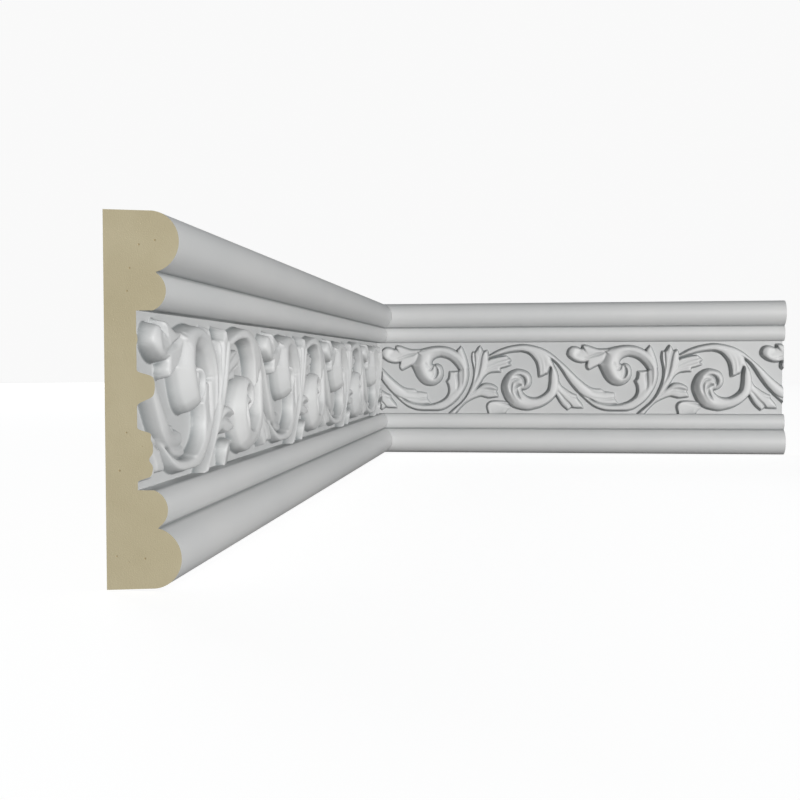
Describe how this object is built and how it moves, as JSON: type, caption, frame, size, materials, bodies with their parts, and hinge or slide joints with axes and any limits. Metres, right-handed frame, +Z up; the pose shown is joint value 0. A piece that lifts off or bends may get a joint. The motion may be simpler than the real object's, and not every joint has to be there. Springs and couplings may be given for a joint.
{
  "type": "chair rail moulding",
  "caption": "L-shaped run of primed foam wall moulding with rounded edges and a carved acanthus scroll frieze, mitred for an inside corner.",
  "frame": {"origin": "centre of the flat back of the back wall's length, on the wall", "axes": "+X along the back wall, away from the corner and to the right; +Y into the back wall, so the face looks towards -Y; +Z up"},
  "size_m": [0.5452, 0.9272, 0.2],
  "materials": {
    "primed_foam": "smooth pale grey-white primer coat on the face; the square-cut ends show the bare tan foam"
  },
  "bodies": {
    "root": {"back_wall_length": "primed_foam", "side_wall_length": "primed_foam"}
  },
  "joints": []
}
